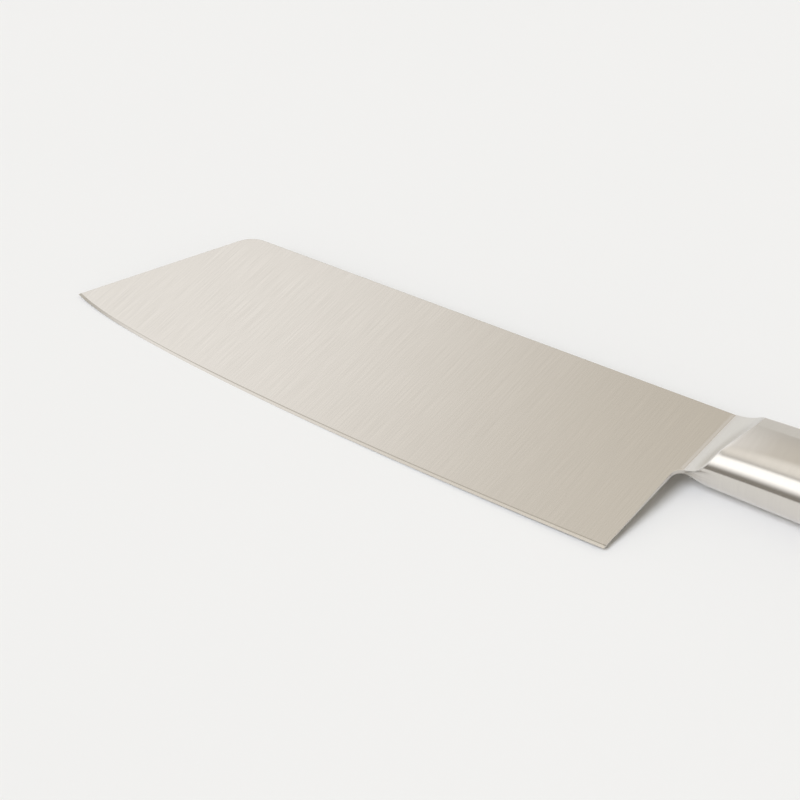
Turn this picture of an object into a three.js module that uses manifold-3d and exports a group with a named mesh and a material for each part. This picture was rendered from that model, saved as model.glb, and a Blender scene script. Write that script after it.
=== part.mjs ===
import * as THREE from "three";
import { mergeVertices } from "three/addons/utils/BufferGeometryUtils.js";
import Module from "manifold-3d";

// Cleaver-style chef knife, all in stainless steel, with a hollow handle welded from two pressed halves.
// Sizes are in millimetres. The knife lies on its right side, so its left side faces up.
// x runs from the tip to the butt, y from the cutting edge to the spine, and z across the blade.
// The drawing starts at the heel in x, on the spine line in y and in the middle of the plate in z.

// Blade plate
const BLADE_LENGTH = 190.5; // tip to heel
const HEEL_DEPTH = 57.8; // spine to edge at the heel
const TIP_DEPTH = 44.6; // spine line to the tip
const TIP_RUN = 33.6; // length along the spine that the angled end takes up
const TIP_CORNER_RADIUS = 9.5; // where the angled end meets the spine
const EDGE_TIP_REACH = 30; // pull of the edge's curve behind the tip
const EDGE_TIP_SLOPE = 0.373; // fall of the edge per millimetre as it leaves the tip
const EDGE_HEEL_REACH = 63; // pull of the edge's flat stretch before the heel
const SPINE_THICKNESS = 2.4; // on the spine, above the heel
const BEVEL_THICKNESS = 0.42; // left where the honed bevel starts, at the heel
const BEVEL_WIDTH = 0.8; // honed bevel along the edge
const DISTAL_TAPER = 0.0024; // thickness lost per millimetre towards the tip
const HEEL_RUN = 3.5; // how far the heel's back edge leans towards the handle
const CHOIL_RADIUS = 3.2; // between the heel's back edge and the neck
const NECK_DEPTH = 24.2; // spine to the underside of the neck
const NECK_SEAT = 5; // length of the neck that sits in the bolster
const TANG_LENGTH = 60; // behind the neck
const TANG_DEPTH = 10; // spine side to belly side of the tang
const TANG_DROP = 7.5; // spine line to the top of the tang

// Handle outline
const PLUNGE_PLACE = 8.8; // where the flare starts on the spine, behind the heel
const PLUNGE_LEAN = 0.133; // run of that line towards the tip per millimetre of depth
const FLARE_LIP = 0.3; // step from the blade's face up to the bolster
const FLARE_RADIUS = 12.1; // of the arc that sets how far the flare runs, at the spine
const FLARE_NARROWING = 0.26; // radius lost per millimetre of depth
const FLARE_SHORTEST = 2; // run of the flare at the belly, where it has least to climb
const BOLSTER_LENGTH = 17.7; // plunge line to the handle's front weld, on the spine
const HANDLE_LENGTH = 125.7; // plunge line to the butt, on the spine
const PALM_PLACE = 64.5; // thickest part of the grip, behind the plunge line
const WAIST_PLACE = 97.5; // narrowest part of the grip, behind the plunge line
const FRONT_DEPTH = 24.3; // at the handle's front weld
const PALM_DEPTH = 25.6;
const WAIST_DEPTH = 25;
const BUTT_DEPTH = 27;
const PLUNGE_THICKNESS = 14.4; // of the full section, run on to the plunge line
const FRONT_THICKNESS = 16.7; // at the handle's front weld
const PALM_THICKNESS = 19.6;
const WAIST_THICKNESS = 18.6;
const BUTT_THICKNESS = 19;
const SPINE_ARCH = 0.8; // rise of the handle over the blade's spine at the palm
const BUTT_DROP = 2.6; // fall of the handle under the blade's spine at the butt
const SHOULDER_DROP = 3; // how much narrower the spine flat is than the side, on each side
const SHOULDER_DEPTH = 6; // how far the sloping shoulder comes down the side
const SHOULDER_RADIUS = 1.6; // along both edges of the shoulder
const BELLY_STRETCH = 1.15; // height of the oval belly for each millimetre of half thickness

// Handle construction
const WALL = 1.2; // of the pressed halves
const WELD_WIDTH = 0.8; // gap between two pieces that a weld fills
const SPIGOT_LENGTH = 4; // of the bolster and the butt cap, inside the halves
const SPIGOT_CLEARANCE = 0.15; // between a spigot and the halves
const SLOT_CLEARANCE = 0.1; // round the neck and the tang
const NECK_WELD_LEG = 1.2; // width of the ground weld on the blade's face
const WELD_GAP = 0.02; // between the neck welds and what they join
const BUTT_LENGTH = 8; // butt cap behind the handle's rear weld
const BUTT_RADIUS = 3; // round the butt's rim

// Balance weight riveted to the end of the tang
const WEIGHT_LENGTH = 32;
const WEIGHT_DEPTH = 14;
const WEIGHT_THICKNESS = 11;
const WEIGHT_BACK = 4; // solid length behind the tang
const RIVET_RADIUS = 2;
const RIVET_CLEARANCE = 0.1;
const RIVET_SPACING = 14;

// Fineness of the curved surfaces
const EDGE_STEPS = 24;
const ARC_STEPS = 4;
const BELLY_STEPS = 9;
const FLARE_STEPS = 8;
const FACET_PASSES = 5; // to settle where the flare meets the handle
const SHELL_STEPS = 14;
const RIVET_SIDES = 20;

// Places that the sizes give
const BOLSTER_END = PLUNGE_PLACE + BOLSTER_LENGTH;
const HANDLE_END = PLUNGE_PLACE + HANDLE_LENGTH;
const SHELL_START = BOLSTER_END + WELD_WIDTH;
const BUTT_START = HANDLE_END - BUTT_LENGTH;
const SHELL_END = BUTT_START - WELD_WIDTH;
const NECK_END = PLUNGE_PLACE + NECK_SEAT;
const TANG_END = NECK_END + TANG_LENGTH;
const TANG_MIDDLE = -TANG_DROP - TANG_DEPTH / 2;

const wasm = await Module();
wasm.setup();

const along = THREE.MathUtils.lerp;

function at(x, y) {
  return new THREE.Vector2(x, y);
}

// A closed skin of points and triangles as a geometry whose faces point outwards.
function closedSkin(points, triangles) {
  let volume = 0;
  for (const [a, b, c] of triangles) {
    volume += points[a].dot(new THREE.Vector3().crossVectors(points[b], points[c]));
  }
  const outward = volume < 0 ? triangles.map(([a, b, c]) => [a, c, b]) : triangles;
  const geometry = new THREE.BufferGeometry().setFromPoints(points);
  geometry.setIndex(outward.flat());
  geometry.computeVertexNormals();
  return geometry;
}

// Triangles over a flat outline with holes, all turning anticlockwise.
function fill(outline, holes) {
  const plan = [outline, ...holes].flat();
  return THREE.ShapeUtils.triangulateShape(outline, holes).map(([a, b, c]) => {
    const turn = THREE.ShapeUtils.area([plan[a], plan[b], plan[c]]);
    return turn > 0 ? [a, b, c] : [a, c, b];
  });
}

// Triangles over one end of a loft, zigzagging between the two halves of its ring.
function endFill(count) {
  const triangles = [];
  for (let a = 0, b = count - 1; b - a > 1; a++, b--) {
    triangles.push([a, a + 1, b]);
    if (b - a > 2) triangles.push([a + 1, b - 1, b]);
  }
  return triangles;
}

// A skin through rings with equal numbers of points. An endless one runs back to its first ring.
function loft(rings, endless = false) {
  const count = rings[0].length;
  const triangles = [];
  const spans = endless ? rings.length : rings.length - 1;
  for (let r = 0; r < spans; r++) {
    const here = r * count;
    const there = ((r + 1) % rings.length) * count;
    for (let i = 0; i < count; i++) {
      const j = (i + 1) % count;
      triangles.push([here + i, here + j, there + j], [here + i, there + j, there + i]);
    }
  }
  if (!endless) {
    const last = spans * count;
    for (const [a, b, c] of endFill(count)) {
      triangles.push([a, c, b], [last + a, last + b, last + c]);
    }
  }
  return closedSkin(rings.flat(), triangles);
}

function toSolid(geometry) {
  const bare = new THREE.BufferGeometry();
  bare.setAttribute("position", geometry.getAttribute("position"));
  bare.setIndex(geometry.index);
  const merged = mergeVertices(bare);
  const mesh = new wasm.Mesh({
    numProp: 3,
    vertProperties: merged.getAttribute("position").array,
    triVerts: new Uint32Array(merged.index.array),
  });
  return new wasm.Manifold(mesh);
}

function toGeometry(solid) {
  const { vertProperties, triVerts } = solid.getMesh();
  const geometry = new THREE.BufferGeometry();
  geometry.setAttribute("position", new THREE.BufferAttribute(vertProperties, 3));
  geometry.setIndex(new THREE.BufferAttribute(triVerts, 1));
  geometry.computeVertexNormals();
  return geometry;
}

// The body with each of the cutters taken away.
function cut(body, cutters) {
  return toGeometry(cutters.reduce((solid, cutter) => solid.subtract(toSolid(cutter)), toSolid(body)));
}

// Points of the arc that rounds a corner between two straight lines.
function roundedCorner(before, corner, after, radius) {
  const back = before.clone().sub(corner).normalize();
  const on = after.clone().sub(corner).normalize();
  const halfAngle = Math.acos(back.dot(on)) / 2;
  const centre = back.clone().add(on).normalize();
  centre.multiplyScalar(radius / Math.sin(halfAngle)).add(corner);
  const start = back.multiplyScalar(radius / Math.tan(halfAngle)).add(corner).sub(centre);
  const end = on.multiplyScalar(radius / Math.tan(halfAngle)).add(corner).sub(centre);
  const turn = Math.atan2(start.cross(end), start.dot(end));
  return Array.from({ length: ARC_STEPS + 1 }, (_, i) => {
    return start.clone().rotateAround(at(0, 0), (turn * i) / ARC_STEPS).add(centre);
  });
}

// Half the plate's thickness: each face is one flat plane, ground down to the edge and to the tip.
function plateHalf(x, y) {
  const grind = (SPINE_THICKNESS - BEVEL_THICKNESS) / (HEEL_DEPTH - BEVEL_WIDTH);
  return (SPINE_THICKNESS + grind * y + DISTAL_TAPER * x) / 2;
}

// A plate with the blade's two faces, thicker by extra on each side, inside an anticlockwise outline.
// Its last points carry a bevel down to the points of edge, and holes run clockwise.
function plate(outline, holes = [], extra = 0, edge = []) {
  const contours = [outline, ...holes];
  const plan = contours.flat();
  const count = plan.length;
  const firstBevel = outline.length - edge.length;
  const face = (side) => plan.map(({ x, y }) => new THREE.Vector3(x, y, side * (plateHalf(x, y) + extra)));
  const points = [...face(1), ...face(-1), ...edge.map(({ x, y }) => new THREE.Vector3(x, y, 0))];
  const triangles = fill(outline, holes).flatMap(([a, b, c]) => [
    [a, b, c],
    [c + count, b + count, a + count],
  ]);
  let start = 0;
  for (const contour of contours) {
    for (let i = 0; i < contour.length; i++) {
      const a = start + i;
      const b = start + ((i + 1) % contour.length);
      const edgeA = 2 * count + a - firstBevel;
      if (start === 0 && a >= firstBevel && b > a) {
        triangles.push([a, edgeA, edgeA + 1], [a, edgeA + 1, b]);
        triangles.push([edgeA, a + count, b + count], [edgeA, b + count, edgeA + 1]);
      } else {
        triangles.push([a, a + count, b + count], [a, b + count, b]);
      }
    }
    start += contour.length;
  }
  if (edge.length > 0) {
    const heel = outline.length - 1;
    triangles.push([firstBevel, firstBevel + count, 2 * count]);
    triangles.push([2 * count + edge.length - 1, heel + count, heel]);
  }
  return closedSkin(points, triangles);
}

// Spine height, belly height and half thickness of the handle's outline along its length.
const handleSections = new THREE.CubicInterpolant(
  [PLUNGE_PLACE, BOLSTER_END, PLUNGE_PLACE + PALM_PLACE, PLUNGE_PLACE + WAIST_PLACE, HANDLE_END],
  [
    [0, NECK_DEPTH, PLUNGE_THICKNESS],
    [0, FRONT_DEPTH, FRONT_THICKNESS],
    [SPINE_ARCH, PALM_DEPTH, PALM_THICKNESS],
    [0, WAIST_DEPTH, WAIST_THICKNESS],
    [-BUTT_DROP, BUTT_DEPTH, BUTT_THICKNESS],
  ].flat(),
  3,
);

function handleSize(x) {
  const [top, depth, thickness] = handleSections.evaluate(x);
  return { top, bottom: top - depth, half: thickness / 2 };
}

// A corner of an outline moved inwards, so that both its sides move by the inset.
function insetCorner(corner, normalA, normalB, inset) {
  const shift = normalA.clone().add(normalB).multiplyScalar(inset / (1 + normalA.dot(normalB)));
  return corner.sub(shift);
}

// Half the handle's outline as (y, z) points: spine flat, sloping shoulder, flat side and oval belly.
// It starts and ends at z = seam, and inset moves it in by a wall.
function halfOutline(x, inset = 0, seam = 0) {
  const { top, bottom, half } = handleSize(x);
  const upward = at(1, 0);
  const outward = at(0, 1);
  const sloping = at(SHOULDER_DROP, SHOULDER_DEPTH).normalize();
  const spineCorner = insetCorner(at(top, half - SHOULDER_DROP), upward, sloping, inset);
  const sideCorner = insetCorner(at(top - SHOULDER_DEPTH, half), sloping, outward, inset);
  const bellyHeight = BELLY_STRETCH * half;
  const bellyWidth = half - inset;
  const radius = SHOULDER_RADIUS / (1 + inset / SHOULDER_RADIUS);
  const start = at(top - inset, seam);
  const lastAngle = Math.acos(seam / bellyWidth);
  const belly = Array.from({ length: BELLY_STEPS + 1 }, (_, i) => {
    const angle = (lastAngle * i) / BELLY_STEPS;
    const fall = (bellyHeight - inset) * Math.sin(angle);
    return at(bottom + bellyHeight - fall, bellyWidth * Math.cos(angle));
  });
  return [
    start,
    ...roundedCorner(start, spineCorner, sideCorner, radius),
    ...roundedCorner(spineCorner, sideCorner, belly[0], radius),
    ...belly,
  ];
}

// The whole ring that half an outline gives when its two ends lie in the middle plane.
function mirrored(half) {
  const other = half.slice(1, -1).reverse();
  return [...half, ...other.map((p) => new THREE.Vector3(p.x, p.y, -p.z))];
}

function ringAt(x, inset = 0) {
  return mirrored(halfOutline(x, inset).map((p) => new THREE.Vector3(x, p.x, p.y)));
}

function plungeAt(y) {
  return PLUNGE_PLACE + PLUNGE_LEAN * y;
}

function flareRadius(y) {
  return FLARE_RADIUS + FLARE_NARROWING * y;
}

// How far behind the plunge line the flare has climbed to a height.
function flareRun(rise, y) {
  return Math.max(FLARE_SHORTEST, Math.sqrt(Math.max(0, rise * (2 * flareRadius(y) - rise))));
}

// Where the flare's foot stands on the blade's face.
function flareFoot(x, y) {
  return plateHalf(x, y) + FLARE_LIP;
}

// Where the flare reaches the handle's full outline, for each of the half outline's points.
function facetLine() {
  const count = halfOutline(PLUNGE_PLACE).length;
  return Array.from({ length: count }, (_, i) => {
    const guide = THREE.MathUtils.clamp(i, 1, count - 2);
    let run = flareRadius(-NECK_DEPTH / 2);
    let point = null;
    for (let pass = 0; pass < FACET_PASSES; pass++) {
      const depth = point ? point.y : 0;
      const x = plungeAt(depth) + run;
      const leading = halfOutline(x)[guide];
      const own = halfOutline(x)[i];
      point = new THREE.Vector3(x, own.x, own.y);
      run = flareRun(leading.y - flareFoot(x, leading.x), leading.x);
    }
    return point;
  });
}

// A slanting ring of the hollow flare, a share of the way from the blade's face to the full handle.
// It climbs with the square of that share.
function flareRing(share) {
  const line = facetLine();
  const half = line.map((point, i) => {
    const x = along(plungeAt(point.y), point.x, share);
    const inPlane = i === 0 || i === line.length - 1;
    const foot = inPlane ? 0 : flareFoot(x, point.y);
    return new THREE.Vector3(x, point.y, along(foot, point.z, share * share));
  });
  return mirrored(half);
}

// A round hole's outline, clockwise.
function hole(x, y, radius) {
  return Array.from({ length: RIVET_SIDES }, (_, i) => {
    return at(x, y).add(at(radius, 0).rotateAround(at(0, 0), (-2 * Math.PI * i) / RIVET_SIDES));
  });
}

function rivetPlaces() {
  const middle = TANG_END - (WEIGHT_LENGTH - WEIGHT_BACK) / 2;
  return [middle - RIVET_SPACING / 2, middle + RIVET_SPACING / 2];
}

// The cutting edge from tip to heel, and the line where its bevel starts.
function edgeLines(tip, spineCorner, heel, neckCorner) {
  const leave = at(tip.x + EDGE_TIP_REACH, tip.y - EDGE_TIP_REACH * EDGE_TIP_SLOPE);
  const arrive = at(heel.x - EDGE_HEEL_REACH, heel.y);
  const curve = new THREE.CubicBezierCurve(tip, leave, arrive, heel);
  const edge = curve.getPoints(EDGE_STEPS);
  const onSide = (end, next, t) => {
    const side = next.clone().sub(end).normalize();
    const run = BEVEL_WIDTH / Math.abs(side.cross(curve.getTangent(t)));
    return side.multiplyScalar(run).add(end);
  };
  const bevel = edge.map((point, i) => {
    if (i === 0) return onSide(tip, spineCorner, 0);
    if (i === EDGE_STEPS) return onSide(heel, neckCorner, 1);
    const tangent = curve.getTangent(i / EDGE_STEPS);
    return at(-tangent.y, tangent.x).multiplyScalar(BEVEL_WIDTH).add(point);
  });
  return { edge, bevel };
}

function bladeGeometry() {
  const tip = at(-BLADE_LENGTH, -TIP_DEPTH);
  const spineCorner = at(TIP_RUN - BLADE_LENGTH, 0);
  const heel = at(0, -HEEL_DEPTH);
  const neckCorner = at(HEEL_RUN, -NECK_DEPTH);
  const neckFoot = at(NECK_END, handleSize(NECK_END).bottom);
  const neckTop = at(NECK_END, 0);
  const { edge, bevel } = edgeLines(tip, spineCorner, heel, neckCorner);
  const outline = [
    ...roundedCorner(heel, neckCorner, neckFoot, CHOIL_RADIUS),
    neckFoot,
    at(NECK_END, -TANG_DROP - TANG_DEPTH),
    at(TANG_END, -TANG_DROP - TANG_DEPTH),
    at(TANG_END, -TANG_DROP),
    at(NECK_END, -TANG_DROP),
    neckTop,
    ...roundedCorner(neckTop, spineCorner, tip, TIP_CORNER_RADIUS),
    ...bevel,
  ];
  const holes = rivetPlaces().map((x) => hole(x, TANG_MIDDLE, RIVET_RADIUS + RIVET_CLEARANCE));
  return plate(outline, holes, 0, edge);
}

// Forged flare with a spigot for the halves, slotted for the blade's neck and pierced for its tang.
function bolsterGeometry() {
  const inset = WALL + SPIGOT_CLEARANCE;
  const spigotEnd = SHELL_START + SPIGOT_LENGTH;
  const body = loft([
    ...Array.from({ length: FLARE_STEPS + 1 }, (_, i) => flareRing(i / FLARE_STEPS)),
    ringAt(BOLSTER_END),
    ringAt(BOLSTER_END, inset),
    ringAt(spigotEnd, inset),
  ]);
  const beyond = HEEL_DEPTH;
  const slotEnd = NECK_END + SLOT_CLEARANCE;
  const neckSlot = plate(
    [at(-beyond, -beyond), at(slotEnd, -beyond), at(slotEnd, beyond), at(-beyond, beyond)],
    [],
    SLOT_CLEARANCE,
  );
  const tangTop = SLOT_CLEARANCE - TANG_DROP;
  const tangFoot = -TANG_DROP - TANG_DEPTH - SLOT_CLEARANCE;
  const tangSlot = plate(
    [at(0, tangFoot), at(TANG_END, tangFoot), at(TANG_END, tangTop), at(0, tangTop)],
    [],
    SLOT_CLEARANCE,
  );
  return cut(body, [neckSlot, tangSlot]);
}

// Pressed half of the handle, open along the middle plane. side is 1 for the left and -1 for the right.
function shellGeometry(side) {
  const rings = Array.from({ length: SHELL_STEPS + 1 }, (_, i) => {
    const x = along(SHELL_START, SHELL_END, i / SHELL_STEPS);
    const outer = halfOutline(x, 0, WELD_WIDTH / 2);
    const inner = halfOutline(x, WALL, WELD_WIDTH / 2).reverse();
    return [...outer, ...inner].map((p) => new THREE.Vector3(x, p.x, side * p.y));
  });
  return loft(rings);
}

// Solid end of the handle, with a spigot inside the halves and a rounded rim.
function buttCapGeometry() {
  const inset = WALL + SPIGOT_CLEARANCE;
  const rim = Array.from({ length: ARC_STEPS + 1 }, (_, i) => {
    const angle = (Math.PI / 2) * (i / ARC_STEPS);
    const place = HANDLE_END - BUTT_RADIUS * (1 - Math.sin(angle));
    return ringAt(place, BUTT_RADIUS * (1 - Math.cos(angle)));
  });
  return loft([
    ringAt(SHELL_END - SPIGOT_LENGTH, inset),
    ringAt(BUTT_START, inset),
    ringAt(BUTT_START),
    ...rim,
  ]);
}

// Weld round the handle, ground flush, as deep as the halves' wall.
function ringWeldGeometry(start) {
  const end = start + WELD_WIDTH;
  const corners = [ringAt(start), ringAt(end), ringAt(end, WALL), ringAt(start, WALL)];
  return loft(
    corners[0].map((_, i) => corners.map((ring) => ring[i])),
    true,
  );
}

// Weld along the halves, from their outer face to their inner face, on the spine or on the belly.
function seamWeldGeometry(onSpine) {
  const side = WELD_WIDTH / 2;
  const rings = Array.from({ length: SHELL_STEPS + 1 }, (_, i) => {
    const x = along(SHELL_START, SHELL_END, i / SHELL_STEPS);
    const { top, bottom } = handleSize(x);
    const outer = onSpine ? top : bottom;
    const inner = onSpine ? top - WALL : bottom + WALL;
    return [
      new THREE.Vector3(x, outer, side),
      new THREE.Vector3(x, inner, side),
      new THREE.Vector3(x, inner, -side),
      new THREE.Vector3(x, outer, -side),
    ];
  });
  return loft(rings);
}

// Weld that fills the step between the blade's face and the bolster's lip.
function neckWeldGeometry(side) {
  const rings = [-WELD_GAP, WELD_GAP - NECK_DEPTH].map((y) => {
    const lip = plungeAt(y) - WELD_GAP;
    const face = (x) => plateHalf(x, y) + WELD_GAP;
    return [
      new THREE.Vector3(lip - NECK_WELD_LEG, y, side * face(lip - NECK_WELD_LEG)),
      new THREE.Vector3(lip, y, side * face(lip)),
      new THREE.Vector3(lip, y, side * (plateHalf(lip, y) + FLARE_LIP)),
    ];
  });
  return loft(rings);
}

// A round bar across the blade, centred on the plate.
function crossBar(x, radius, length) {
  const outline = hole(x, TANG_MIDDLE, radius);
  return loft([-length / 2, length / 2].map((z) => outline.map((p) => new THREE.Vector3(p.x, p.y, z))));
}

// Clevis that slides over the end of the tang.
function balanceWeightGeometry() {
  const end = TANG_END + SLOT_CLEARANCE + WEIGHT_BACK;
  const start = end - WEIGHT_LENGTH;
  const low = TANG_MIDDLE - WEIGHT_DEPTH / 2;
  const high = TANG_MIDDLE + WEIGHT_DEPTH / 2;
  const ends = [start, end].map((x) => [
    new THREE.Vector3(x, low, -WEIGHT_THICKNESS / 2),
    new THREE.Vector3(x, high, -WEIGHT_THICKNESS / 2),
    new THREE.Vector3(x, high, WEIGHT_THICKNESS / 2),
    new THREE.Vector3(x, low, WEIGHT_THICKNESS / 2),
  ]);
  const beyond = WEIGHT_DEPTH;
  const slotEnd = TANG_END + SLOT_CLEARANCE;
  const slot = plate(
    [
      at(start - beyond, low - beyond),
      at(slotEnd, low - beyond),
      at(slotEnd, high + beyond),
      at(start - beyond, high + beyond),
    ],
    [],
    SLOT_CLEARANCE,
  );
  const bores = rivetPlaces().map((x) => crossBar(x, RIVET_RADIUS + RIVET_CLEARANCE, 2 * WEIGHT_THICKNESS));
  return cut(loft(ends), [slot, ...bores]);
}

// Rivet through the weight and the tang, filed flush with the weight. Number 0 is nearer the blade.
function rivetGeometry(number) {
  return crossBar(rivetPlaces()[number], RIVET_RADIUS, WEIGHT_THICKNESS);
}

function satinSteel() {
  return new THREE.MeshStandardMaterial({ color: 0xcbc5bc, roughness: 0.38, metalness: 1 });
}

function polishedSteel() {
  return new THREE.MeshStandardMaterial({ color: 0xd6d5d1, roughness: 0.2, metalness: 1 });
}

function plainSteel() {
  return new THREE.MeshStandardMaterial({ color: 0xa3a19c, roughness: 0.6, metalness: 1 });
}

const knife = new THREE.Group();

function piece(name, geometry, finish) {
  const mesh = new THREE.Mesh(geometry, finish);
  mesh.name = name;
  knife.add(mesh);
}

piece("blade", bladeGeometry(), satinSteel());
piece("bolster", bolsterGeometry(), polishedSteel());
piece("neck_weld_left", neckWeldGeometry(1), polishedSteel());
piece("neck_weld_right", neckWeldGeometry(-1), polishedSteel());
piece("handle_shell_left", shellGeometry(1), polishedSteel());
piece("handle_shell_right", shellGeometry(-1), polishedSteel());
piece("front_ring_weld", ringWeldGeometry(BOLSTER_END), polishedSteel());
piece("rear_ring_weld", ringWeldGeometry(SHELL_END), polishedSteel());
piece("spine_seam_weld", seamWeldGeometry(true), polishedSteel());
piece("belly_seam_weld", seamWeldGeometry(false), polishedSteel());
piece("butt_cap", buttCapGeometry(), polishedSteel());
piece("balance_weight", balanceWeightGeometry(), plainSteel());
piece("tang_rivet_front", rivetGeometry(0), plainSteel());
piece("tang_rivet_rear", rivetGeometry(1), plainSteel());

// The part's origin is on the surface that the knife lies on, under the middle of its box.
const box = new THREE.Box3().setFromObject(knife);
const middle = box.getCenter(new THREE.Vector3());
knife.position.set(-middle.x, -middle.y, -box.min.z);

const part = new THREE.Group();
part.add(knife);

export default part;
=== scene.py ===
"""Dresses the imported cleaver-style chef knife and lays it on a pale table in soft studio light.

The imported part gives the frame. Finer meshes with eased edges stand for the pieces that show, and the
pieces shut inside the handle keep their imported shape. The classes below hold their sizes in millimetres, in
the part's drawing: x starts at the heel and runs to the butt, y starts on the spine line and falls to the
edge, and z starts in the middle of the plate and rises to the left side. Blender works in metres.
"""
import logging
import math
from dataclasses import dataclass, field
from enum import Enum
from typing import Any

import bmesh
import bpy
import numpy as np
from bpy.types import ID, Material, Mesh, Node, NodeSocket, NodeTree, Object
from mathutils import Matrix, Vector


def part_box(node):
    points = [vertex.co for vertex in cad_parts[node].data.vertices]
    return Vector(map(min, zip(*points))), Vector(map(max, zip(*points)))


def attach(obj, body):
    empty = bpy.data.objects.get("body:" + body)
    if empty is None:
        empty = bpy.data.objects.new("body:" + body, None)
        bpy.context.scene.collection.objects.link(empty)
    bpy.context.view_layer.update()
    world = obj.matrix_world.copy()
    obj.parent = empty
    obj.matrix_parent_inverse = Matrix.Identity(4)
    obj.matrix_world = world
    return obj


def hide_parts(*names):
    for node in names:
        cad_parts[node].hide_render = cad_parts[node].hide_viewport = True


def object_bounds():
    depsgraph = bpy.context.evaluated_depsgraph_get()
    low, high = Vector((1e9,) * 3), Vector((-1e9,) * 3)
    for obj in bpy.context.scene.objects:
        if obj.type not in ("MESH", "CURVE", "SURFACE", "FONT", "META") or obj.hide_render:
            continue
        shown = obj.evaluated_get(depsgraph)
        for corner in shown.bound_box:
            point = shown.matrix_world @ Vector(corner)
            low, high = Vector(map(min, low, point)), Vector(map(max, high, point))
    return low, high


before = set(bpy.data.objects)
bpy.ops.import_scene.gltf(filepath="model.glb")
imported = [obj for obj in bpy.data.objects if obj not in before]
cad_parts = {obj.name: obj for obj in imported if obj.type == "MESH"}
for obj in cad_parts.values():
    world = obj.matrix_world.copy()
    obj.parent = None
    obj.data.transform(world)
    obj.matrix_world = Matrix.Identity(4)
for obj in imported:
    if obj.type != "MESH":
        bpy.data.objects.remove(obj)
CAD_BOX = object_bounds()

Array = np.ndarray
Triple = tuple[float, float, float]

LOG = logging.getLogger("knife")
MM = 0.001  # metres in a millimetre
BODY = "root"  # the part's one body, since nothing moves
GRAIN_MAP = "grain"  # UV map in millimetres: u runs across the brush lines and v along them
FACTOR, VALUE_A, VALUE_B, COLOUR_A, COLOUR_B = 0, 2, 3, 6, 7  # inputs of a mix node, whose names repeat
MIXED_VALUE, MIXED_COLOUR = 0, 2  # its outputs


class Slot(Enum):
    """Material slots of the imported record."""

    BLADE = "blade_satin_steel"
    HANDLE = "handle_polished_steel"
    INNER = "inner_plain_steel"


class Side(Enum):
    """The two sides of the knife, with the sign of z on each."""

    LEFT = 1
    RIGHT = -1


class Seam(Enum):
    """The two welds along the handle."""

    SPINE = "spine"
    BELLY = "belly"


class Way(Enum):
    """Directions that the room is laid out by, on the table's axes: to the butt, back and up."""

    BUTT = (1.0, 0.0, 0.0)
    UP = (0.0, 0.0, 1.0)
    BEHIND = (0.77, 0.64, 0.0)
    TIP = (-0.99, 0.15, 0.0)


class Zone(Enum):
    """Zones of the room that the steel mirrors, some of them made up of others."""

    WINDOW = "window"  # high up beyond the tip
    BACK = "back"  # high up behind the handle
    SHADE = "shade"  # below that
    WALL = "wall"  # low down at the back
    END = "end"  # low down beyond the tip
    CEILING = "ceiling"  # overhead
    NEAR = "near"  # round the soft box on the camera's side
    SOFT_BOX = "soft_box"  # in that soft box
    BESIDE = "beside"  # beyond the tip on the camera's side
    FRONT = "front"  # all that lies on the camera's side
    ROOM = "room"


def to_linear(hex_colour: str) -> tuple[float, ...]:
    """Turns an sRGB colour into the linear one that a shader socket takes.

    Args:
        hex_colour: Colour as six hex digits.

    Returns:
        Red, green, blue and an alpha of 1.
    """
    channels = [int(hex_colour[i:i + 2], 16) / 255 for i in (0, 2, 4)]
    red, green, blue = (c / 12.92 if c <= 0.04045 else ((c + 0.055) / 1.055) ** 2.4 for c in channels)
    return red, green, blue, 1.0


def add_node(tree: NodeTree, kind: str, inputs: dict[Any, Any] | None = None, **settings: Any) -> Node:
    """Adds a node with its settings and links.

    Args:
        tree: Node tree that the node joins.
        kind: Blender's name for the type of shader node.
        inputs: Input sockets by name or number, with the value or the output that feeds each.
        **settings: Properties of the node.

    Returns:
        The new node.
    """
    node = tree.nodes.new(f"ShaderNode{kind}")
    for name, value in settings.items():
        setattr(node, name, value)
    for socket, value in (inputs or {}).items():
        if isinstance(value, NodeSocket):
            tree.links.new(value, node.inputs[socket])
        else:
            node.inputs[socket].default_value = value
    return node


def new_material(name: str) -> tuple[Material, NodeTree]:
    """Makes a material with an empty node tree.

    Args:
        name: Name of the material.

    Returns:
        The material and its node tree.
    """
    material = bpy.data.materials.new(name)
    material.use_nodes = True
    material.node_tree.nodes.clear()
    return material, material.node_tree


def add_object(name: str, data: ID) -> Object:
    """Puts a new object into the scene.

    Args:
        name: Name of the object.
        data: Its mesh, camera or light.

    Returns:
        The object.
    """
    added = bpy.data.objects.new(name, data)
    bpy.context.scene.collection.objects.link(added)
    return added


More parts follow.
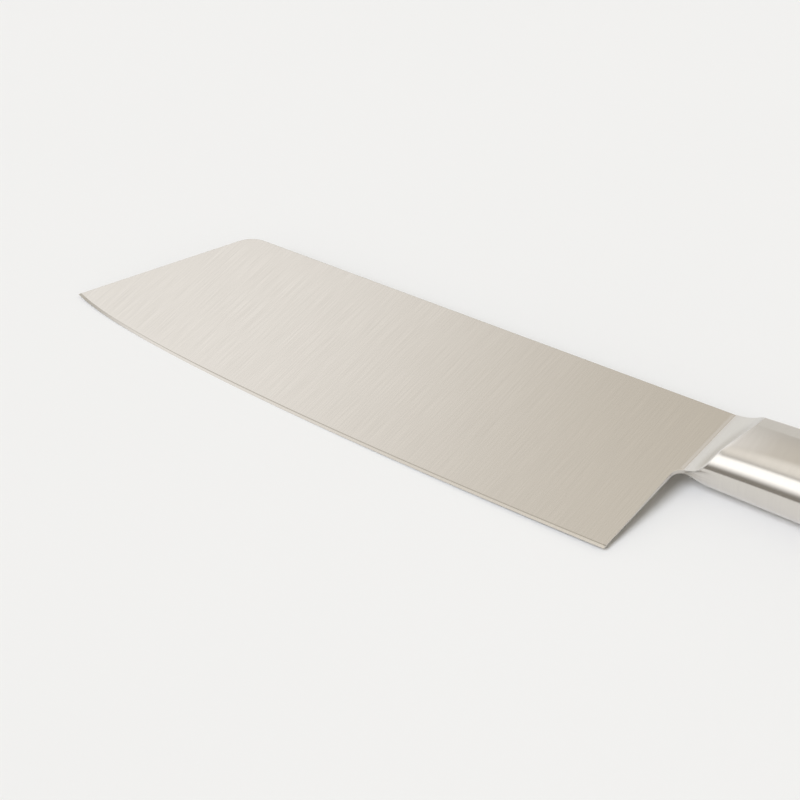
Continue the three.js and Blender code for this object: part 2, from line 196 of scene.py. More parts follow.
@dataclass(frozen=True)
class GroundSteel:
    """Stainless steel ground with an abrasive, which leaves fine parallel grooves.

    The grooves spread a reflection across themselves and keep it sharp along themselves, so the eye sees
    soft bands with faint streaks instead of a mirror image.
    """

    name: str  # what the steel is and how it was finished
    dark_hex: str  # in the deeper grooves
    light_hex: str  # on the ridges between them
    roughness: tuple[float, float]  # of the ridges and of the grooves
    spread: float  # how much wider a reflection is across the grooves than along them, from 0 to 1
    groove_depth: float
    groove_spacing: float = 0.4  # drawn coarser than the real 0.1 so that the grooves show
    groove_length: float = 14.0  # that a groove runs before it fades
    streak_spacing: float = 1.6  # between the broader streaks that worn grit leaves
    streak_share: float = 0.14  # of the streaks in the grain, beside the grooves

    def material(self) -> Material:
        """Makes the steel's material.

        Returns:
            The material, which follows the grain map of the piece that wears it.
        """
        material, tree = new_material(self.name)
        grain_map = add_node(tree, "UVMap", uv_map=GRAIN_MAP).outputs["UV"]
        across = add_node(tree, "Tangent", direction_type="UV_MAP", uv_map=GRAIN_MAP).outputs[0]
        grooves = self.lines(tree, grain_map, self.groove_spacing)
        streaks = self.lines(tree, grain_map, self.streak_spacing)
        sets = {FACTOR: self.streak_share, VALUE_A: grooves, VALUE_B: streaks}
        grain = add_node(tree, "Mix", sets).outputs[MIXED_VALUE]
        tones = {FACTOR: grain, COLOUR_A: to_linear(self.dark_hex), COLOUR_B: to_linear(self.light_hex)}
        colour = add_node(tree, "Mix", tones, data_type="RGBA").outputs[MIXED_COLOUR]
        ridge, groove = self.roughness
        shine = {"Value": grain, "To Min": groove, "To Max": ridge}
        roughness = add_node(tree, "MapRange", shine).outputs[0]
        relief = add_node(tree, "Bump", {"Height": grain, "Distance": self.groove_depth * MM}).outputs[0]
        surface = {"Base Color": colour, "Metallic": 1.0, "Roughness": roughness, "Normal": relief}
        surface |= {"Anisotropic": self.spread, "Tangent": across}
        steel = add_node(tree, "BsdfPrincipled", surface)
        add_node(tree, "OutputMaterial", {"Surface": steel.outputs[0]})
        return material

    def lines(self, tree: NodeTree, grain_map: NodeSocket, spacing: float) -> NodeSocket:
        """Adds one set of parallel lines.

        Args:
            tree: Node tree of the material.
            grain_map: The grain map, in millimetres.
            spacing: Millimetres between lines.

        Returns:
            A value from 0 in the lines to 1 between them.
        """
        stretch = {"Vector": grain_map, "Scale": (spacing, self.groove_length, 1.0)}
        place = add_node(tree, "Mapping", stretch, vector_type="TEXTURE").outputs[0]
        return add_node(tree, "TexNoise", {"Vector": place, "Scale": 1.0}).outputs[0]


@dataclass(frozen=True)
class MachinedSteel:
    """Plain steel as the cutter left it, grey and dull with faint feed marks."""

    name: str = "mild_steel_as_machined"
    dark_hex: str = "8F8D89"  # in the feed marks
    light_hex: str = "A9A7A2"  # between them
    roughness: tuple[float, float] = (0.45, 0.6)  # in the feed marks and between them
    feed: float = 0.6  # between feed marks
    detail: float = 3.0  # finer layers in the marks

    def material(self) -> Material:
        """Makes the steel's material.

        Returns:
            The material, which follows the part's own axes.
        """
        material, tree = new_material(self.name)
        place = add_node(tree, "TexCoord").outputs["Object"]
        pattern = {"Vector": place, "Scale": 1 / (self.feed * MM), "Detail": self.detail}
        marks = add_node(tree, "TexNoise", pattern).outputs[0]
        tones = {FACTOR: marks, COLOUR_A: to_linear(self.dark_hex), COLOUR_B: to_linear(self.light_hex)}
        colour = add_node(tree, "Mix", tones, data_type="RGBA").outputs[MIXED_COLOUR]
        low, high = self.roughness
        roughness = add_node(tree, "MapRange", {"Value": marks, "To Min": low, "To Max": high}).outputs[0]
        surface = {"Base Color": colour, "Metallic": 1.0, "Roughness": roughness}
        steel = add_node(tree, "BsdfPrincipled", surface)
        add_node(tree, "OutputMaterial", {"Surface": steel.outputs[0]})
        return material


@dataclass(frozen=True)
class LacqueredBoard:
    """Pale board under a matt lacquer, even and soft, with a cloudiness that is barely there.

    It shows only from above, so that a view from below still sees the knife.
    """

    name: str = "board_matt_lacquered"
    dark_hex: str = "F0EFEF"  # in the clouds
    light_hex: str = "F2F1F1"  # between them
    roughness: float = 0.9
    cloud: float = 160.0  # across a cloud

    def material(self) -> Material:
        """Makes the board's material.

        Returns:
            The material, which follows the board's own axes.
        """
        material, tree = new_material(self.name)
        place = add_node(tree, "TexCoord").outputs["Object"]
        clouds = add_node(tree, "TexNoise", {"Vector": place, "Scale": 1 / (self.cloud * MM)}).outputs[0]
        tones = {FACTOR: clouds, COLOUR_A: to_linear(self.dark_hex), COLOUR_B: to_linear(self.light_hex)}
        colour = add_node(tree, "Mix", tones, data_type="RGBA").outputs[MIXED_COLOUR]
        surface = {"Base Color": colour, "Roughness": self.roughness}
        board = add_node(tree, "BsdfPrincipled", surface).outputs[0]
        nothing = add_node(tree, "BsdfTransparent").outputs[0]
        below = add_node(tree, "NewGeometry").outputs["Backfacing"]
        shown = add_node(tree, "MixShader", {0: below, 1: board, 2: nothing})
        add_node(tree, "OutputMaterial", {"Surface": shown.outputs[0]})
        return material


# The blade's satin: warm stainless steel with grooves that run from the edge up to the spine.
BLADE_STEEL = GroundSteel(
    "stainless_steel_belt_ground_satin", "CBC6BE", "DBD6CE",
    roughness=(0.18, 0.22), spread=0.4, groove_depth=0.0015, groove_length=16.0, streak_spacing=2.2,
)
# Hairline above the bevel: coarse honing scratches, in steel darkened as painted shade along its shoulder.
SHADE_LINE_STEEL = GroundSteel(
    "stainless_steel_honed_painted_shade_line", "B0ABA2", "C0BBB2",
    roughness=(0.22, 0.28), spread=0.4, groove_depth=0.0015, groove_spacing=0.3, groove_length=2.0,
)
# The handle's finer polish: warm stainless steel, grooved round the grip, which keeps reflections clear.
HANDLE_STEEL = GroundSteel(
    "stainless_steel_fine_polished", "D5D1CB", "DFDBD5",
    roughness=(0.12, 0.18), spread=0.6, groove_depth=0.0008,
)
# The flare's soft satin: stainless steel blended by hand, which blurs what it mirrors into one pale tone.
FLARE_STEEL = GroundSteel(
    "stainless_steel_hand_blended_satin", "D8D6D3", "E2E0DD",
    roughness=(0.38, 0.44), spread=0.2, groove_depth=0.0004,
)
# The pieces shut inside the handle: mild steel straight from the cutter, grey and dull.
INNER_STEEL = MachinedSteel()


def in_frame(points: Any) -> Array:
    """Turns points of the drawing into points of the frame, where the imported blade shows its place."""
    low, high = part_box("blade")
    return np.asarray(points) * MM + (low.x + BladePlate.length * MM, high.y, (low.z + high.z) / 2)


@dataclass
class Skin:
    """A closed surface in the drawing."""

    points: Array  # one row of x, y and z for each point
    faces: list[list[int]]  # point numbers round each face, anticlockwise from outside
    grain: Array  # one row for each point, across and along the brush lines
    ends: int = 0  # how many of the last faces are flat ends that lie across the handle
    creases: set[tuple[int, int]] = field(default_factory=set)  # edges that stay crisp at any angle
    lined: list[int] = field(default_factory=list)  # faces that wear the piece's second material, on the blade the painted-shade hairline

    CRISP_ANGLE = math.radians(38)  # over which an edge is crisp
    JOIN_DISTANCE = 0.001  # under which two points are one
    PLAIN_CORNERS = 4  # a face with more is cut into triangles

    def piece(self, name: str, material: Material, slot: Slot, *nodes: str) -> Object:
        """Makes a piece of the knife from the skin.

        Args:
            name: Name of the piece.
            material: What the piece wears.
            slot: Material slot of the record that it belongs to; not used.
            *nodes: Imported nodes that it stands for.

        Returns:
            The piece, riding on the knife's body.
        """
        mesh = bpy.data.meshes.new(name)
        mesh.from_pydata(in_frame(self.points).tolist(), [], self.faces)
        mesh.update()
        mesh.shade_smooth()
        mesh.set_sharp_from_angle(angle=self.CRISP_ANGLE)
        for edge in mesh.edges:
            edge.use_edge_sharp |= tuple(sorted(edge.vertices)) in self.creases
        for number in self.lined:
            mesh.polygons[number].material_index = 1
        self.lay_grain(mesh)
        self.clean(mesh)
        mesh.materials.append(material)
        piece = add_object(name, mesh)
        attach(piece, BODY)
        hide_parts(*nodes)
        LOG.info("%s stands for %s", name, ", ".join(nodes))
        return piece

    def lay_grain(self, mesh: Mesh) -> None:
        """Writes the grain map, on which a flat end has lines that run up the handle's depth.

        Args:
            mesh: Mesh of the skin's faces, in their order.
        """
        corners = np.array([loop.vertex_index for loop in mesh.loops])
        grain = self.grain[corners]
        for face in list(mesh.polygons)[len(self.faces) - self.ends:]:
            loops = list(face.loop_indices)
            grain[loops] = self.points[corners[loops]][:, [2, 1]]
        layer = mesh.uv_layers.new(name=GRAIN_MAP)
        layer.data.foreach_set("uv", grain.astype(np.float32).ravel())

    def clean(self, mesh: Mesh) -> None:
        """Joins points that share a place and cuts wide faces into triangles, so that the grain stays true.

        Args:
            mesh: Mesh to clean.
        """
        cutter = bmesh.new()
        cutter.from_mesh(mesh)
        bmesh.ops.remove_doubles(cutter, verts=cutter.verts, dist=self.JOIN_DISTANCE * MM)
        wide = [face for face in cutter.faces if len(face.verts) > self.PLAIN_CORNERS]
        bmesh.ops.triangulate(cutter, faces=wide, ngon_method="BEAUTY")
        cutter.to_mesh(mesh)
        cutter.free()


def loft(rings: list[Array], grain: list[Array], endless: bool = False) -> Skin:
    """Stretches a skin over rings with equal numbers of points.

    Args:
        rings: Points of each ring.
        grain: Rows across and along the brush lines for each ring.
        endless: True if the last ring joins the first, False if flat faces close both ends.

    Returns:
        The skin, facing outwards.
    """
    number = np.arange(len(rings) * len(rings[0])).reshape(len(rings), -1)
    here, there = (number, np.roll(number, -1, axis=0)) if endless else (number[:-1], number[1:])
    corners = (here, np.roll(here, -1, axis=1), np.roll(there, -1, axis=1), there)
    faces = np.stack(corners, axis=2).reshape(-1, len(corners)).tolist()
    if not endless:
        faces += [number[0, ::-1].tolist(), number[-1].tolist()]
    points = np.vstack(rings)
    volume = sum(
        points[f[0]] @ np.cross(points[f[k]], points[f[k + 1]]) for f in faces for k in range(1, len(f) - 1)
    )
    if volume < 0:
        faces = [face[::-1] for face in faces]
    return Skin(points, faces, np.vstack(grain), 0 if endless else 2)


def unit(vector: Array) -> Array:
    """Scales a vector to a length of 1."""
    return vector / np.linalg.norm(vector)


def rounded_corner(before: Array, corner: Array, after: Array, radius: float, steps: int) -> Array:
    """Rounds a corner between two straight lines.

    Args:
        before: A point on the line that comes in.
        corner: Where the lines meet.
        after: A point on the line that goes out.
        radius: Radius of the arc.
        steps: Number of chords along it.

    Returns:
        Points along the arc.
    """
    back, on = unit(before - corner), unit(after - corner)
    half_angle = math.acos(back @ on) / 2
    centre = corner + unit(back + on) * radius / math.sin(half_angle)
    start = corner + back * radius / math.tan(half_angle) - centre
    end = corner + on * radius / math.tan(half_angle) - centre
    turn = math.atan2(start[0] * end[1] - start[1] * end[0], start @ end)
    angles = np.linspace(0, turn, steps + 1)
    across = np.array([-start[1], start[0]])
    return centre + np.outer(np.cos(angles), start) + np.outer(np.sin(angles), across)


@dataclass
class BladePlate:
    """The ground plate with its edge, slanted end, heel, neck and tang.

    Each face is one flat plane, ground down to the edge and to the tip. A honed bevel runs along the edge
    under a hairline of painted shade, on the strip where the stone stopped, and every other rim is eased.
    """

    length: float = 190.5  # tip to heel
    heel_depth: float = 57.8  # spine to edge at the heel
    tip_depth: float = 44.6  # spine line to the tip
    tip_run: float = 33.6  # of the slanted end along the spine
    tip_corner_radius: float = 9.5
    edge_tip_reach: float = 30.0  # pull of the edge's curve behind the tip
    edge_tip_slope: float = 0.373  # fall of the edge as it leaves the tip
    edge_heel_reach: float = 63.0  # pull of the edge's flat stretch before the heel
    spine_thickness: float = 2.4  # on the spine, above the heel
    bevel_thickness: float = 0.42  # where the honed bevel starts, at the heel
    bevel_width: float = 0.8
    shade_line: float = 0.4  # width of the painted-shade hairline on the face, above the bevel
    shade_line_run: float = 60.0  # from the tip, in which the hairline grows
    shade_line_least: float = 0.1  # share of its width at the tip
    distal_taper: float = 0.0024  # thickness lost per millimetre towards the tip
    heel_run: float = 3.5  # lean of the heel's back edge towards the handle
    choil_radius: float = 3.2  # between the heel's back edge and the neck
    neck_depth: float = 24.2
    neck_end: float = 13.8  # end of the neck, inside the bolster
    tang_length: float = 60.0
    tang_depth: float = 10.0
    tang_drop: float = 7.5  # spine line to the top of the tang
    ease_radius: float = 0.22  # along every rim but the edge
    ease_run: float = 1.0  # in which that easing runs out beside the bevel
    apex: float = 0.02  # half of what honing leaves at the very edge
    brush_lean: float = math.radians(5)  # of the brush lines towards the handle as they climb
    edge_steps: int = 160
    arc_steps: int = 12

    RIM_POINTS = 8  # from one face round the rim to the other

    def half_thickness(self, x: Any, y: Any) -> Any:
        """Gives half the plate's thickness at a place of the drawing, or at many."""
        grind = (self.spine_thickness - self.bevel_thickness) / (self.heel_depth - self.bevel_width)
        return (self.spine_thickness + grind * y + self.distal_taper * x) / 2

    def corners(self) -> dict[str, Array]:
        """Works out the outline's corners.

        Returns:
            The x and y of each corner, by its name.
        """
        places = {
            "tip": (-self.length, -self.tip_depth),
            "spine": (self.tip_run - self.length, 0),
            "heel": (0, -self.heel_depth),
            "choil": (self.heel_run, -self.neck_depth),
            "neck_foot": (self.neck_end, -self.neck_depth),
            "neck_top": (self.neck_end, 0),
        }
        return {name: np.array(place, float) for name, place in places.items()}

    def eased_line(self, start: Array, end: Array) -> Array:
        """Draws the rest of the outline, from the heel round the neck, tang and spine to the tip.

        Args:
            start: Where the honed strip ends on the heel's back edge.
            end: Where the honed strip ends on the slanted end.

        Returns:
            Points along the line.
        """
        corners = self.corners()
        choil = rounded_corner(
            corners["heel"], corners["choil"], corners["neck_foot"], self.choil_radius, self.arc_steps
        )
        tip_corner = rounded_corner(
            corners["neck_top"], corners["spine"], corners["tip"], self.tip_corner_radius, self.arc_steps
        )
        tang_end = self.neck_end + self.tang_length
        tang_foot = -self.tang_drop - self.tang_depth
        foot = [corners["neck_foot"], (self.neck_end, tang_foot), (tang_end, tang_foot)]
        top = [(tang_end, -self.tang_drop), (self.neck_end, -self.tang_drop), corners["neck_top"]]
        after_start = start + self.ease_run * unit(choil[0] - start)
        before_end = end + self.ease_run * unit(tip_corner[-1] - end)
        return np.vstack([start, after_start, choil, *foot, *top, tip_corner, before_end, end])

    def eased_rim(self, line: Array) -> Array:
        """Rounds a rim from the left face down to its middle.

        Args:
            line: Points along the outline, with the plate on their left.

        Returns:
            For each point of the line, the points that lead from the face to the rim.
        """
        heading = np.diff(line, axis=0)
        heading /= np.linalg.norm(heading, axis=1)[:, None]
        normal = np.stack([-heading[:, 1], heading[:, 0]], axis=1)
        before = np.vstack([normal[:1], normal])
        after = np.vstack([normal, normal[-1:]])
        inward = (before + after) / (1 + np.sum(before * after, axis=1))[:, None]
        ease = np.minimum(self.ease_radius, self.half_thickness(*line.T) / 2)
        ease[[0, -1]] = 0.0
        half = self.half_thickness(*(line + ease[:, None] * inward).T)
        strips = []
        for angle in np.linspace(0, math.pi / 2, self.RIM_POINTS // 2):
            places = line + (ease * (1 - math.sin(angle)))[:, None] * inward
            strips.append(np.column_stack([places, half - ease * (1 - math.cos(angle))]))
        return np.stack(strips, axis=1)

    def honed_rim(self) -> Array:
        """Draws the cutting edge from tip to heel, with the bevel and the painted-shade hairline above it.

        Returns:
            For each point of the edge, the points that lead from the left face to it.
        """
        corners = self.corners()
        tip, heel = corners["tip"], corners["heel"]
        leave = tip + self.edge_tip_reach * np.array([1, -self.edge_tip_slope])
        arrive = heel - (self.edge_heel_reach, 0)
        t = np.linspace(0, 1, self.edge_steps + 1)[:, None]
        edge = (1 - t) ** 3 * tip + 3 * (1 - t) ** 2 * t * leave + 3 * (1 - t) * t**2 * arrive + t**3 * heel
        speed = (1 - t) ** 2 * (leave - tip) + 2 * (1 - t) * t * (arrive - leave) + t**2 * (heel - arrive)
        heading = speed / np.linalg.norm(speed, axis=1)[:, None]
        inward = np.stack([-heading[:, 1], heading[:, 0]], axis=1)
        for end, beyond in ((0, corners["spine"]), (-1, corners["choil"])):
            rim = unit(beyond - edge[end])
            inward[end] = rim / abs(rim[0] * heading[end][1] - rim[1] * heading[end][0])
        grown = np.clip((edge[:, :1] - tip[0]) / self.shade_line_run, self.shade_line_least, 1)
        shoulder = edge + self.bevel_width * inward
        border = shoulder + self.shade_line * grown * inward
        half = self.half_thickness(*shoulder.T)
        strips = [np.column_stack([border, self.half_thickness(*border.T)])]
        for share in np.linspace(0, 1, self.RIM_POINTS // 2 - 1):
            places = shoulder + share * (edge - shoulder)
            strips.append(np.column_stack([places, half + share * (self.apex - half)]))
        return np.stack(strips, axis=1)

    def skin(self) -> Skin:
        """Stretches the skin over both faces and the rim between them.

        Returns:
            The plate's skin, with crisp borders round both faces and along the bevels.
        """
        strip = self.honed_rim()
        eased = self.eased_rim(self.eased_line(strip[-1, 0, :2], strip[0, 0, :2]))
        left = np.vstack([eased, strip])
        rim = np.concatenate([left, left[:, ::-1] * (1, 1, -1)], axis=1)
        count, across = rim.shape[:2]
        rings = list(rim.swapaxes(0, 1))
        lean_cos, lean_sin = math.cos(self.brush_lean), math.sin(self.brush_lean)
        grain = [
            np.stack([x * lean_cos - y * lean_sin, x * lean_sin + y * lean_cos + z], axis=1)
            for x, y, z in (ring.T for ring in rings)
        ]
        skin = loft(rings, grain)
        skin.ends = 0
        honed = range(len(eased), count - 1)
        folds = [(k, i) for k in (0, across - 1) for i in range(count)]
        folds += [(k, i) for k in (1, across - 2) for i in honed]
        skin.creases = {tuple(sorted((k * count + i, k * count + (i + 1) % count))) for k, i in folds}
        # the strip above each bevel wears the painted-shade hairline
        skin.lined = [k * count + i for k in (0, across - 2) for i in honed]
        return skin

    def build(self, steel: Material, shade_line_steel: Material) -> None:
        """Makes the blade and dresses it."""
        plate = self.skin().piece("blade_plate", steel, Slot.BLADE, "blade")
        # second material: the painted-shade hairline above the bevel
        plate.data.materials.append(shade_line_steel)


@dataclass
class HandleForm:
    """The handle's outline along its length, and the hollow flare that grows out of the blade."""

    blade: BladePlate
    plunge_place: float = 8.8  # where the flare starts on the spine, behind the heel
    plunge_lean: float = 0.133  # run of that line towards the tip per millimetre of depth
    flare_lip: float = 0.03  # step from the blade's face up to the bolster
    flare_radius: float = 12.1  # of the arc that sets how far the flare runs, at the spine
    flare_narrowing: float = 0.26  # radius lost per millimetre of depth
    flare_shortest: float = 2.0  # run of the flare at the belly
    bolster_length: float = 17.7  # plunge line to the front weld
    handle_length: float = 125.7  # plunge line to the butt
    palm_place: float = 64.5  # thickest part of the grip, behind the plunge line
    waist_place: float = 97.5  # narrowest part of the grip, behind the plunge line
    depths: tuple[float, ...] = (24.2, 24.3, 25.6, 25.0, 27.0)  # plunge, front weld, palm, waist, butt
    thicknesses: tuple[float, ...] = (14.4, 16.7, 19.6, 18.6, 19.0)  # at the same places
    tops: tuple[float, ...] = (0.0, 0.0, 0.8, 0.0, -2.6)  # over the spine line at the same places
    shoulder_drop: float = 3.0  # from the side in to the spine flat
    shoulder_depth: float = 6.0  # of the sloping shoulder, down the side
    shoulder_radius: float = 1.6
    side_crown: float = 0.35  # fall of the flat side up to the shoulder
    belly_stretch: float = 1.15  # height of the oval belly per half thickness
    wall: float = 1.2
    weld_width: float = 0.8
    butt_length: float = 8.0
    butt_radius: float = 3.0
    arc_steps: int = 6
    side_steps: int = 5
    belly_steps: int = 28
    facet_passes: int = 8  # to settle where the flare meets the handle

    @property
    def bolster_end(self) -> float:
        """Where the bolster ends and the front weld starts."""
        return self.plunge_place + self.bolster_length

    @property
    def end(self) -> float:
        """Where the handle ends."""
        return self.plunge_place + self.handle_length

    @property
    def shell_end(self) -> float:
        """Where the pressed halves end and the rear weld starts."""
        return self.end - self.butt_length - self.weld_width

    def size_at(self, x: float) -> Triple:
        """Gives the outline's size at a place along the handle.

        Args:
            x: Place along the drawing.

        Returns:
            Height of the spine flat, height of the belly, and half the thickness.
        """
        runs = (0.0, self.bolster_length, self.palm_place, self.waist_place, self.handle_length)
        knots = self.plunge_place + np.array(runs)
        values = np.array([self.tops, self.depths, self.thicknesses]).T
        spans = np.diff(knots)
        secants = np.diff(values, axis=0) / spans[:, None]
        slopes = np.vstack([secants[:1], (secants[:-1] + secants[1:]) / 2, secants[-1:]])
        i = int(np.clip(np.searchsorted(knots, x) - 1, 0, len(spans) - 1))
        t = (x - knots[i]) / spans[i]
        top, depth, thickness = (
            (2 * t**3 - 3 * t**2 + 1) * values[i]
            + (t**3 - 2 * t**2 + t) * spans[i] * slopes[i]
            + (3 * t**2 - 2 * t**3) * values[i + 1]
            + (t**3 - t**2) * spans[i] * slopes[i + 1]
        )
        return top, top - depth, thickness / 2

    def half_ring(self, x: float, inset: float = 0.0, seam: float = 0.0) -> Array:
        """Draws half the outline: spine flat, sloping shoulder, barely crowned side and oval belly.

        Args:
            x: Place along the drawing.
            inset: How far to move the outline in.
            seam: The z at which it starts and ends.

        Returns:
            Rows of x, y and z, from the spine to the belly.
        """
        top, bottom, half = self.size_at(x)
        sloping = unit(np.array([self.shoulder_drop - self.side_crown, self.shoulder_depth]))
        upward, outward = np.eye(2)
        spine = np.array([top, half - self.shoulder_drop])
        spine -= (upward + sloping) * inset / (1 + upward @ sloping)
        side = np.array([top - self.shoulder_depth, half - self.side_crown])
        side -= (sloping + outward) * inset / (1 + sloping @ outward)
        radius = self.shoulder_radius / (1 + inset / self.shoulder_radius)
        start = np.array([top - inset, seam])
        belly_height = self.belly_stretch * half
        angles = np.linspace(0, math.acos(seam / (half - inset)), self.belly_steps + 1)
        fall = (belly_height - inset) * np.sin(angles)
        belly = np.stack([bottom + belly_height - fall, (half - inset) * np.cos(angles)], axis=1)
        climb = np.linspace(1, 0, self.side_steps + 1)[1:-1]
        low, high = belly[0, 0], side[0]
        flank = np.stack([low + climb * (high - low), belly[0, 1] - self.side_crown * climb**2], axis=1)
        spine_corner = rounded_corner(start, spine, side, radius, self.arc_steps)
        side_corner = rounded_corner(spine, side, flank[0], radius, self.arc_steps)
        outline = np.vstack([start, spine_corner, side_corner, flank, belly])
        return np.column_stack([np.full(len(outline), x), outline])

    def grain_of(self, half: Array) -> Array:
        """Measures the brush lines of half a ring, as places along the handle and lengths round it."""
        steps = np.linalg.norm(np.diff(half[:, 1:], axis=0), axis=1)
        return np.column_stack([half[:, 0], np.concatenate([[0], np.cumsum(steps)])])

    def plunge_at(self, y: Any) -> Any:
        """Gives the place of the plunge line at a height, or at many."""
        return self.plunge_place + self.plunge_lean * y

    def flare_foot(self, x: Any, y: Any) -> Any:
        """Gives the height of the flare's foot over the middle plane, at one place or at many."""
        return self.blade.half_thickness(x, y) + self.flare_lip

    def flare_run(self, rise: float, y: float) -> float:
        """Gives the distance behind the plunge line at which the flare has risen by a height."""
        radius = self.flare_radius + self.flare_narrowing * y
        return max(self.flare_shortest, math.sqrt(max(0.0, rise * (2 * radius - rise))))

    def facet_line(self) -> tuple[Array, Array]:
        """Finds where the flare reaches the handle's full outline.

        Returns:
            One point for each point of the half outline, and its distance behind the plunge line.
        """
        count = len(self.half_ring(self.plunge_place))
        points, runs = np.zeros((count, 3)), np.zeros(count)
        for i in range(count):
            guide = min(max(i, 1), count - 2)
            run = self.flare_radius / 2
            for _ in range(self.facet_passes):
                x = self.plunge_at(points[i, 1]) + run
                half = self.half_ring(x)
                points[i] = half[i]
                _, y, z = half[guide]
                run = self.flare_run(z - self.flare_foot(x, y), y)
            runs[i] = run
        return points, runs

    def round_skin(self, halves: list[Array], endless: bool = False) -> Skin:
        """Stretches a skin over rings that mirror themselves across the middle plane.

        Args:
            halves: Points of half of each ring, from the spine to the belly.
            endless: True if the last ring joins the first.

        Returns:
            The skin, with brush lines that run round the handle.
        """
        rings = [np.vstack([half, half[-2:0:-1] * (1, 1, -1)]) for half in halves]
        grain = [self.grain_of(half) for half in halves]
        return loft(rings, [np.vstack([rows, rows[-2:0:-1]]) for rows in grain], endless)


@dataclass
class Bolster:
    """The forged flare between the blade's neck and the handle, and the ground welds at its foot."""

    form: HandleForm
    crease_ease: float = 0.5  # reach of the rounded crease to each side of the facet line
    crease_share: float = 1 / 3  # of the flare's run at most
    weld_leg: float = 1.2  # width of the ground weld on the blade's face
    flare_steps: int = 28
    crease_steps: int = 8
    body_steps: int = 10
    weld_steps: int = 8

    def flare_half(self, facet: Array, shares: Array) -> Array:
        """Draws half a ring of the flare, which rises faster and faster.

        Args:
            facet: Where the flare reaches the handle's full outline, for each point.
            shares: How far each point has come from the plunge line to there, from 0 to 1.

        Returns:
            The half ring's points.
        """
        face_x, y, face_z = facet.T
        plunge = self.form.plunge_at(y)
        x = plunge + shares * (face_x - plunge)
        foot = self.form.flare_foot(x, y)
        foot[[0, -1]] = 0.0
        return np.column_stack([x, y, foot + shares**2 * (face_z - foot)])

    def body_half(self, places: Array) -> Array:
        """Draws half a ring on the handle's full outline, with each point at its own place."""
        return np.array([self.form.half_ring(x)[i] for i, x in enumerate(places)])

    def flare_skin(self) -> Skin:
        """Stretches the skin from the plunge line over the flare and its crease to the front weld.

        Returns:
            The skin, with the flare and its crease lined.
        """
        form = self.form
        facet, runs = form.facet_line()
        ease = np.minimum(self.crease_ease, runs * self.crease_share)
        halves = [
            self.flare_half(facet, share * (1 - ease / runs))
            for share in np.linspace(0, 1, self.flare_steps + 1)
        ]
        before, after = halves[-1], self.body_half(facet[:, 0] + ease)
        for t in np.linspace(0, 1, self.crease_steps + 1)[1:]:
            halves.append((1 - t) ** 2 * before + 2 * (1 - t) * t * facet + t**2 * after)
        for share in np.linspace(0, 1, self.body_steps + 1)[1:]:
            halves.append(self.body_half(after[:, 0] + share * (form.bolster_end - after[:, 0])))
        skin = form.round_skin(halves)
        around = 2 * (len(facet) - 1)
        skin.lined = list(range((self.flare_steps + self.crease_steps) * around))
        return skin

    def weld_skin(self, side: Side) -> Skin:
        """Stretches the skin of the weld that leads from the blade's face up to the flare.

        Args:
            side: Side of the blade that the weld is on.

        Returns:
            The weld's skin.
        """
        form = self.form
        ease = form.blade.ease_radius
        shares = np.linspace(0, 1, self.weld_steps + 1)
        swell = shares**2 * (3 - 2 * shares)
        rings, grain = [], []
        for y in (-ease, ease - form.depths[0]):
            lip = form.plunge_at(y)
            x = lip - self.weld_leg * (1 - shares)
            z = form.blade.half_thickness(x, y) + form.flare_lip * swell
            x, z = np.append(x, (lip, lip - self.weld_leg)), np.append(z, (0.0, 0.0))
            rings.append(np.column_stack([x, np.full_like(x, y), z * side.value]))
            grain.append(rings[-1][:, :2])
        return loft(rings, grain)

    def build(self, steel: Material, flare_steel: Material) -> None:
        """Makes the bolster with its welds and dresses them.

        Args:
            steel: What the welds and the bolster's band behind the flare wear.
            flare_steel: What the flare wears.
        """
        bolster = self.flare_skin().piece("bolster_flare", steel, Slot.HANDLE, "bolster")
        bolster.data.materials.append(flare_steel)
        for side in Side:
            name = f"neck_weld_{side.name.lower()}"
            self.weld_skin(side).piece(f"{name}_bead", steel, Slot.HANDLE, name)


